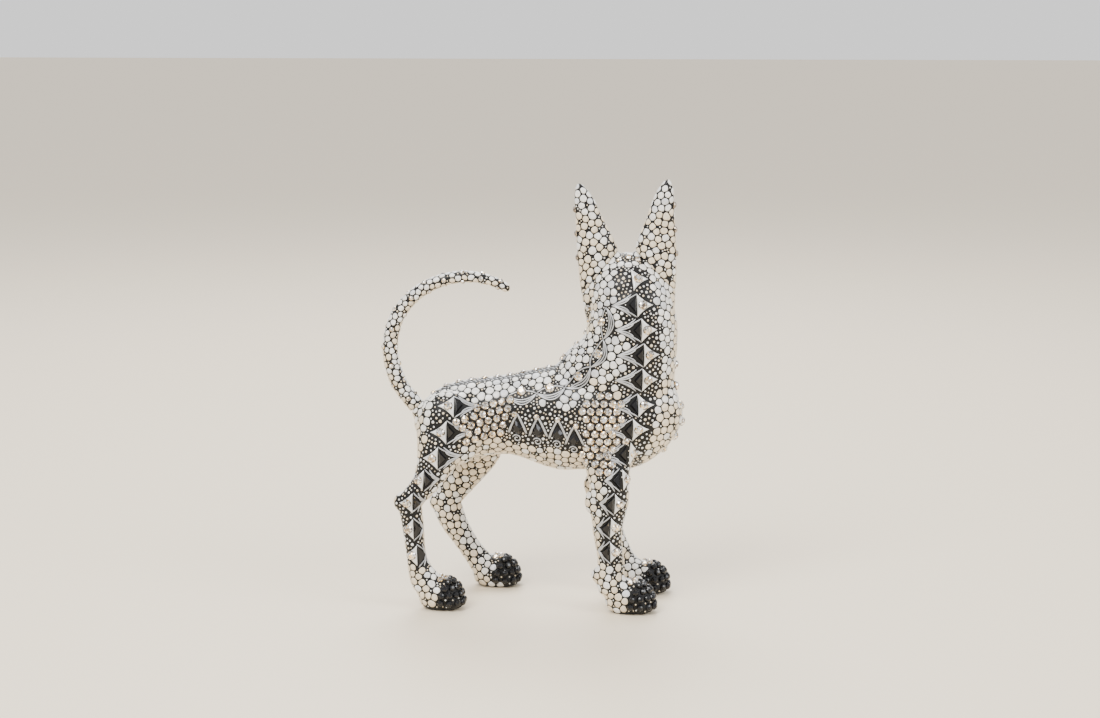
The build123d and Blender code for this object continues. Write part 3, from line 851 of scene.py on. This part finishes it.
def cell_mesh(skin, kept, blockers, gap, height, colour_of, rng):
    """Raised rounded polygons, each trimmed by its neighbours."""
    tree = KDTree(len(kept))
    for index, item in enumerate(kept):
        tree.insert(item[0], index)
    tree.balance()
    points = []
    faces = []
    colours = []
    for index, (place, pitch, kind, family) in enumerate(kept):
        place, normal = skin.near(place)
        across, upward = frame_at(normal, Vector((0.31, 0.17, 0.93)))
        corners = 12 if kind == "cell" else 7
        limit = pitch * (0.6 if kind == "cell" else rng.uniform(0.22, 0.34))
        reach = [limit] * corners
        neighbours = []
        for other, other_index, distance in tree.find_range(place, pitch * 1.7):
            if other_index != index:
                share = pitch / (pitch + kept[other_index][1])
                neighbours.append((other, distance * share - gap / 2))
        for spot, radius in blockers(place, pitch * 1.3):
            neighbours.append((spot, (spot - place).length - radius - gap * 0.6))
        for other, edge in neighbours:
            to_other = other - place
            flat_x = to_other.dot(across)
            flat_y = to_other.dot(upward)
            angle = math.atan2(flat_y, flat_x)
            for corner in range(corners):
                lean = math.cos(2 * math.pi * corner / corners - angle)
                if lean > 0.1:
                    reach[corner] = min(reach[corner], max(edge, pitch * 0.1) / lean)
        smooth = [
            0.25 * reach[corner - 1] + 0.5 * reach[corner] + 0.25 * reach[(corner + 1) % corners]
            for corner in range(corners)
        ]
        reach = [min(a, b) for a, b in zip(reach, smooth)]
        if sum(reach) / corners < pitch * 0.17:
            continue
        rise = height * (1 if kind == "cell" else 0.9) * rng.uniform(0.85, 1.15)
        start = len(points)
        rings = CELL_RINGS if kind == "cell" else DOT_RINGS
        for share, lift in rings:
            for corner in range(corners):
                turn = 2 * math.pi * corner / corners
                out = across * (math.cos(turn) * reach[corner] * share)
                out += upward * (math.sin(turn) * reach[corner] * share)
                spot = skin.tree.find_nearest(place + out)[0]
                points.append(spot + normal * (rise * lift))
        points.append(place + normal * rise * 1.05)
        tip = len(points) - 1
        for ring in range(len(rings) - 1):
            low = start + ring * corners
            for corner in range(corners):
                after = (corner + 1) % corners
                high = low + corners
                faces.append((low + corner, low + after, high + after, high + corner))
        top = start + (len(rings) - 1) * corners
        for corner in range(corners):
            faces.append((top + corner, top + (corner + 1) % corners, tip))
        tone = colour_of(family, kind, place)
        colours.extend([tone] * (len(points) - start))
    return points, faces, np.array(colours, np.float32).reshape(-1, 3)


class PAINTEDDOG_OT_dots(bpy.types.Operator):
    """Lay every raised dot of paint on the body, the ears and the tail"""

    bl_idname = "painteddog.dots"
    bl_label = "Lay the dots"

    def execute(self, context):
        paint = context.scene.painteddog_paint
        rng = np.random.default_rng(11)
        layout = Layout()
        blocks = [(Vector(place), reach) for place, reach in obstacles]
        blocks += [(Vector(place), paint.line_radius + 0.1 * MM) for place in line_points]
        tree = KDTree(len(blocks))
        for index, (place, reach) in enumerate(blocks):
            tree.insert(place, index)
        tree.balance()

        def blockers(place, pitch):
            found = []
            for other, index, distance in tree.find_range(place, pitch + 2.6 * MM):
                found.append((other, blocks[index][1]))
            return found

        def blocked(place, pitch):
            return any(
                (place - spot).length < reach + pitch * 0.36
                for spot, reach in blockers(place, pitch * 0.5)
            )

        cream = np.array(paint.cream)
        white = np.array(paint.white)
        silver = np.array(paint.silver)

        def colour_of(family, kind, place):
            shade = rng.uniform(0.9, 1.06)
            pick_one = rng.random()
            if kind == "dot":
                base = white * 0.95 if pick_one < 0.6 else cream
            elif family == "silver":
                base = silver * 1.35 if pick_one < 0.7 else white
            elif family == "mixed":
                base = silver * 1.3 if pick_one < 0.3 else white
            elif family == "white":
                base = silver * 1.5 if pick_one < 0.12 else white
            # Cells on the lower faces: mostly cream, painted warm reflected light, with some white.
            else:
                base = cream if pick_one < 0.75 else white * 0.95
            return np.clip(base * shade, 0, 1)

        material = dot_paint("dot_paint", 0.38, 0.0)
        for node, body in CARVED.items():
            skin = skins[node]

            def pitch_of(place, normal):
                if node == "carved_body":
                    kind, family = layout.kind(place, normal)
                elif node == "tail":
                    # Tail cells facing up are white; the ones facing down are cream, painted warm
                    # reflected light.
                    kind, family = "cell", "white" if normal.z > 0 else "cream"
                else:
                    # Ear cells are cream with white above 0.2 m: the cream lower down is painted
                    # warm reflected light.
                    kind, family = "cell", "cream"
                    if place.z > 0.2:
                        family = "white"
                if hidden(node, place):
                    kind = "bare"
                if kind == "dot":
                    wave = math.sin(place.z * 3000 + place.x * 2100)
                    return kind, family, paint.dot_pitch * (1 + 0.25 * wave)
                scale = 0.78 if node == "tail" else 0.93 if node != "carved_body" else 1.0
                if place.z < 0.05:
                    scale = 0.95
                wave = math.sin(place.x * 900 + place.z * 700)
                return kind, family, paint.cell_pitch * scale * (1 + 0.08 * wave)

            kept = scatter(skin, pitch_of, blocked, rng, 1.9e6 if node == "carved_body" else 2.4e6)
            kept = relax(skin, kept, blockers, 12)
            kept += fill_gaps(skin, kept, blocked, layout, rng, node)
            points, faces, colours = cell_mesh(
                skin, kept, blockers, paint.cell_gap, paint.cell_height, colour_of, rng,
            )
            new_piece(node + "_dots", points, faces, material, body, colours)
        return {"FINISHED"}


# ---------------------------------------------------------------- stage

class PAINTEDDOG_OT_stage(bpy.types.Operator):
    """Add the floor, the soft lights and the camera"""

    bl_idname = "painteddog.stage"
    bl_label = "Set the stage"

    def execute(self, context):
        clear_selection()
        bpy.ops.mesh.primitive_plane_add(size=14, location=(0, 0, 0))
        floor = context.view_layer.objects.active
        floor.name = "floor"
        material, tree, shader = principled(
            "floor", Base_Color=(0.88, 0.76, 0.58), Roughness=0.45,
        )
        floor.data.materials.append(material)
        world = bpy.data.worlds.new("studio")
        world.use_nodes = True
        background = world.node_tree.nodes["Background"]
        background.inputs["Color"].default_value = (1, 1, 1, 1)
        background.inputs["Strength"].default_value = 1.15
        context.scene.world = world
        middle = Vector((0, 0, 0.11))
        lights = (
            ("key", (-0.5, -0.9, 1.2), 0.8, 24, (1, 0.99, 0.97)),
            ("fill", (1.0, -0.5, 0.8), 0.7, 9, (0.97, 0.98, 1)),
            ("back", (-0.1, 0.8, 1.1), 0.9, 17, (1, 1, 1)),
        )
        for name, place, size, power, colour in lights:
            light = bpy.data.lights.new(name, "AREA")
            light.shape = "DISK"
            light.size = size
            light.energy = power
            light.color = colour
            lamp = bpy.data.objects.new(name, light)
            lamp.location = place
            lamp.rotation_euler = (middle - Vector(place)).to_track_quat("-Z", "Y").to_euler()
            context.scene.collection.objects.link(lamp)
        self.camera(context)
        return {"FINISHED"}

    def camera(self, context):
        """A long lens a little above the dog and a little ahead of its right side."""
        aim = Vector((0.00838, -0.01159, 0.125))
        azimuth = math.radians(4)
        elevation = math.radians(10)
        distance = 1.1
        back = Vector((
            math.sin(azimuth) * math.cos(elevation),
            -math.cos(azimuth) * math.cos(elevation),
            math.sin(elevation),
        ))
        data = bpy.data.cameras.new("camera")
        data.lens = 72
        data.sensor_width = 36
        data.clip_start = 0.05
        camera = bpy.data.objects.new("camera", data)
        camera.location = aim + back * distance
        camera.rotation_euler = (-back).to_track_quat("-Z", "Y").to_euler()
        context.scene.collection.objects.link(camera)
        context.scene.camera = camera


class PAINTEDDOG_PT_panel(bpy.types.Panel):
    """Lists the steps and the settings"""

    bl_label = "Painted dog"
    bl_idname = "PAINTEDDOG_PT_panel"
    bl_space_type = "VIEW_3D"
    bl_region_type = "UI"
    bl_category = "Painted dog"

    def draw(self, context):
        layout = self.layout
        for operator in OPERATORS:
            layout.operator(operator.bl_idname)
        for settings in (context.scene.painteddog_paint, context.scene.painteddog_stones):
            box = layout.box()
            for name in settings.__annotations__:
                box.prop(settings, name)


OPERATORS = (
    PAINTEDDOG_OT_carving,
    PAINTEDDOG_OT_lines,
    PAINTEDDOG_OT_pearls,
    PAINTEDDOG_OT_crystals,
    PAINTEDDOG_OT_dots,
    PAINTEDDOG_OT_stage,
)
CLASSES = (PaintedDogPaint, PaintedDogStones, *OPERATORS, PAINTEDDOG_PT_panel)


def register():
    """Adds the classes and the settings."""
    for item in CLASSES:
        bpy.utils.register_class(item)
    bpy.types.Scene.painteddog_paint = bpy.props.PointerProperty(type=PaintedDogPaint)
    bpy.types.Scene.painteddog_stones = bpy.props.PointerProperty(type=PaintedDogStones)


def unregister():
    """Takes the classes and the settings away."""
    del bpy.types.Scene.painteddog_stones
    del bpy.types.Scene.painteddog_paint
    for item in reversed(CLASSES):
        bpy.utils.unregister_class(item)


def main():
    """Makes the whole dog."""
    register()
    bpy.ops.painteddog.carving()
    bpy.ops.painteddog.lines()
    bpy.ops.painteddog.pearls()
    bpy.ops.painteddog.crystals()
    bpy.ops.painteddog.dots()
    bpy.ops.painteddog.stage()


if __name__ == "__main__":
    main()
